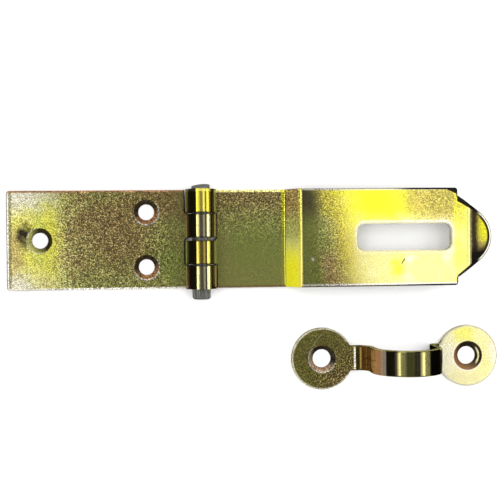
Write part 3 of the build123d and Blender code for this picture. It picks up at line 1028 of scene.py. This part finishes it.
# %% [markdown]
# The pin is plain drawn steel, cut off at one end and pressed with a straight knurl at the other. Drawing
# leaves fine streaks along it. An anisotropic shader could hint at them, but noise that is stretched
# along the pin shows them from every side.

# %% Finish of the pin
DARK_STEEL = (0.13, 0.13, 0.12, 1.0)
LIGHT_STEEL = (0.34, 0.33, 0.30, 1.0)
DULL_STEEL = (0.20, 0.20, 0.19, 1.0)
STREAK_SIZE, STREAK_STRETCH = 0.3, (1.0, 0.08, 1.0)
STREAK_TURN, STREAK_HEIGHT = (0.3, 0.7), 0.004
SHEARED_END = (HALF_WIDTH + 0.1, HALF_WIDTH + 0.3)
STEEL_METALLIC, SHEARED_LOSS = 0.7, 0.4
STEEL_ROUGHNESS, STREAK_ROUGHNESS = 0.30, 0.2


def pin_finish():
    """Drawn steel: fine streaks along the pin, duller where it was sheared."""
    finish = Finish("pin_drawn_steel")
    sockets = {0: finish.mm, 1: STREAK_STRETCH}
    stretched = finish.node("ShaderNodeVectorMath", {"operation": "MULTIPLY"}, sockets)
    streak = finish.noise(STREAK_SIZE, detail=3.0, at=stretched)
    sheared = finish.rise(finish.y, *SHEARED_END)
    colour = finish.blend(DARK_STEEL, LIGHT_STEEL, finish.rise(streak, *STREAK_TURN))
    finish.paint("Base Color", finish.blend(colour, DULL_STEEL, sheared))
    finish.paint("Metallic", STEEL_METALLIC - sheared * SHEARED_LOSS)
    finish.paint("Roughness", STEEL_ROUGHNESS + streak * STREAK_ROUGHNESS)
    finish.paint("Normal", finish.bump(streak, STREAK_HEIGHT))
    print("pin_drawn_steel nodes:", len(finish.tree.nodes))
    return finish.material


pin_steel = pin_finish()

# %% [markdown]
# A CAD node keeps its mesh and its place, and takes its finish through the material slots that it has.
# A copy of the mesh could carry it too, but a copy would no longer be the solid.

# %% Give each node its finish
finishes = {"fixed_leaf": leaf_zinc, "hasp_strap": strap_zinc, "staple": staple_zinc, "hinge_pin": pin_steel}
for node, material in finishes.items():
    for slot in frame["nodes"][node].material_slots:
        slot.material = material
    print(node, "->", material.name)


# %% [markdown]
# The floor is plain white board, just below the mounting faces. It is wide, so that its edge stays far
# off in low views. The metal doesn't mirror it: a real table shot has dark card close to the object, so
# that burnished flanks go black, and leaving the floor out of glossy rays does the same more simply.

# %% Floor
FLOOR_HALF = 6.0
FLOOR_DROP = 0.02 * MM
BOARD_GREY, BOARD_WHITE = (0.86, 0.86, 0.86, 1.0), (0.90, 0.90, 0.90, 1.0)
BOARD_FIBRE, BOARD_ROUGHNESS = 0.8, 0.9


def white_floor():
    """A square of matt board with a faint fibre in it."""
    mesh = bpy.data.meshes.new("floor")
    sides = ((-1, -1), (1, -1), (1, 1), (-1, 1))
    corners = [(x * FLOOR_HALF, y * FLOOR_HALF, -FLOOR_DROP) for x, y in sides]
    mesh.from_pydata(corners, [], [(0, 1, 2, 3)])
    floor = bpy.data.objects.new("floor", mesh)
    bpy.context.scene.collection.objects.link(floor)
    finish = Finish("floor_white")
    finish.paint("Base Color", finish.blend(BOARD_GREY, BOARD_WHITE, finish.noise(BOARD_FIBRE)))
    finish.paint("Roughness", BOARD_ROUGHNESS)
    mesh.materials.append(finish.material)
    floor.visible_glossy = False
    print("floor:", 2 * FLOOR_HALF, "m square")


white_floor()


# %% [markdown]
# Metal shows what it mirrors. Seen from above, each flat part of the hasp mirrors one place on the
# ceiling, so a light panel there makes that part bright, and a gap leaves it to the film's own scatter.
# A right panel lights the raised part, a left one the free end of the leaf, and narrow strips at the
# sides draw the lines of light on the barrel and the loop. A picture of a room could light it too, but
# panels can be placed one by one. One more light, which the metal doesn't mirror, brightens the floor
# from the left and gives the faint shadows.

# %% Light panels overhead
CEILING, HIGH, LOW = 600, 550, 210


def panel(name, x_span, y_span, height, radiance, turn=0.0, mirrored=True):
    """A level light panel over an area given in millimetres, as bright as radiance in the metal."""
    data = bpy.data.lights.new(name, "AREA")
    data.shape = "RECTANGLE"
    data.size = (x_span[1] - x_span[0]) * MM
    data.size_y = (y_span[1] - y_span[0]) * MM
    data.energy = radiance * pi * data.size * data.size_y
    light = bpy.data.objects.new(name, data)
    light.location = Vector((sum(x_span) / 2, sum(y_span) / 2, height)) * MM
    light.rotation_euler = (0.0, 0.0, radians(turn))
    light.visible_glossy = mirrored
    light.visible_camera = False
    bpy.context.scene.collection.objects.link(light)
    print(name, "radiance", radiance, "energy", round(data.energy, 2))
    return light


panel("ceiling", (-210, 400), (-60, 420), height=CEILING + 20, radiance=0.08)
panel("right_panel", (166, 340), (-60, 110), height=CEILING, radiance=1.35, turn=14)
panel("foot_panel", (250, 330), (-160, -60), height=CEILING, radiance=1.1)
panel("left_panel", (-150, -88), (-60, 60), height=CEILING, radiance=0.71)
panel("tab_panel", (-178, -150), (-60, 60), height=CEILING, radiance=2.2)
panel("left_strip", (-370, -215), (-72, 330), height=HIGH, radiance=2.2)
panel("right_strip", (215, 420), (-46, 300), height=LOW, radiance=2.2)
panel("loop_left", (-562, -275), (-330, -72), height=HIGH, radiance=2.0)
panel("loop_right", (172, 272), (-300, -46), height=LOW, radiance=2.2)
panel("floor_light", (-850, 450), (-250, 950), height=900, radiance=0.78, mirrored=False)


# %% [markdown]
# Other views mirror what stands round the object, so six soft walls close the studio. They leave a gap
# straight to the left and to the right, which the flanks of the barrel and the loop mirror as black in
# the main view. The world is even white light for the floor and the film, and the metal doesn't mirror it.

# %% Walls and world
WALL_AWAY, WALL_HEIGHT, WALL_FOOT = 900, 900, 30
LONG_WALL, SIDE_WALL = 1500, 600
SIDE_WALL_SHIFT = 540
WALL_RADIANCE = 0.5
WORLD_WHITE, WORLD_STRENGTH = (1.0, 1.0, 1.0, 1.0), 0.8


def wall(name, x, y, width):
    """An upright light panel that stands at x and y in millimetres and faces the middle of the stage."""
    half_width, half_height = width / 2, WALL_HEIGHT / 2
    light = panel(name, (-half_width, half_width), (-half_height, half_height), 0.0, WALL_RADIANCE)
    light.location = Vector((x, y, WALL_FOOT + half_height)) * MM
    light.rotation_euler = Vector((-x, -y, 0.0)).to_track_quat("-Z", "Y").to_euler()


for along, end in ((-1, "front"), (1, "back")):
    wall(end + "_wall", 0.0, along * WALL_AWAY, LONG_WALL)
    for across, side in ((-1, "left"), (1, "right")):
        wall(side + "_" + end + "_wall", across * WALL_AWAY, along * SIDE_WALL_SHIFT, SIDE_WALL)

world = bpy.data.worlds.new("studio")
bpy.context.scene.world = world
world.use_nodes = True
background = world.node_tree.nodes["Background"]
background.inputs["Color"].default_value = WORLD_WHITE
background.inputs["Strength"].default_value = WORLD_STRENGTH
world.cycles_visibility.glossy = False
bpy.context.scene.view_settings.view_transform = "Standard"
print("lights:", len(bpy.data.lights))
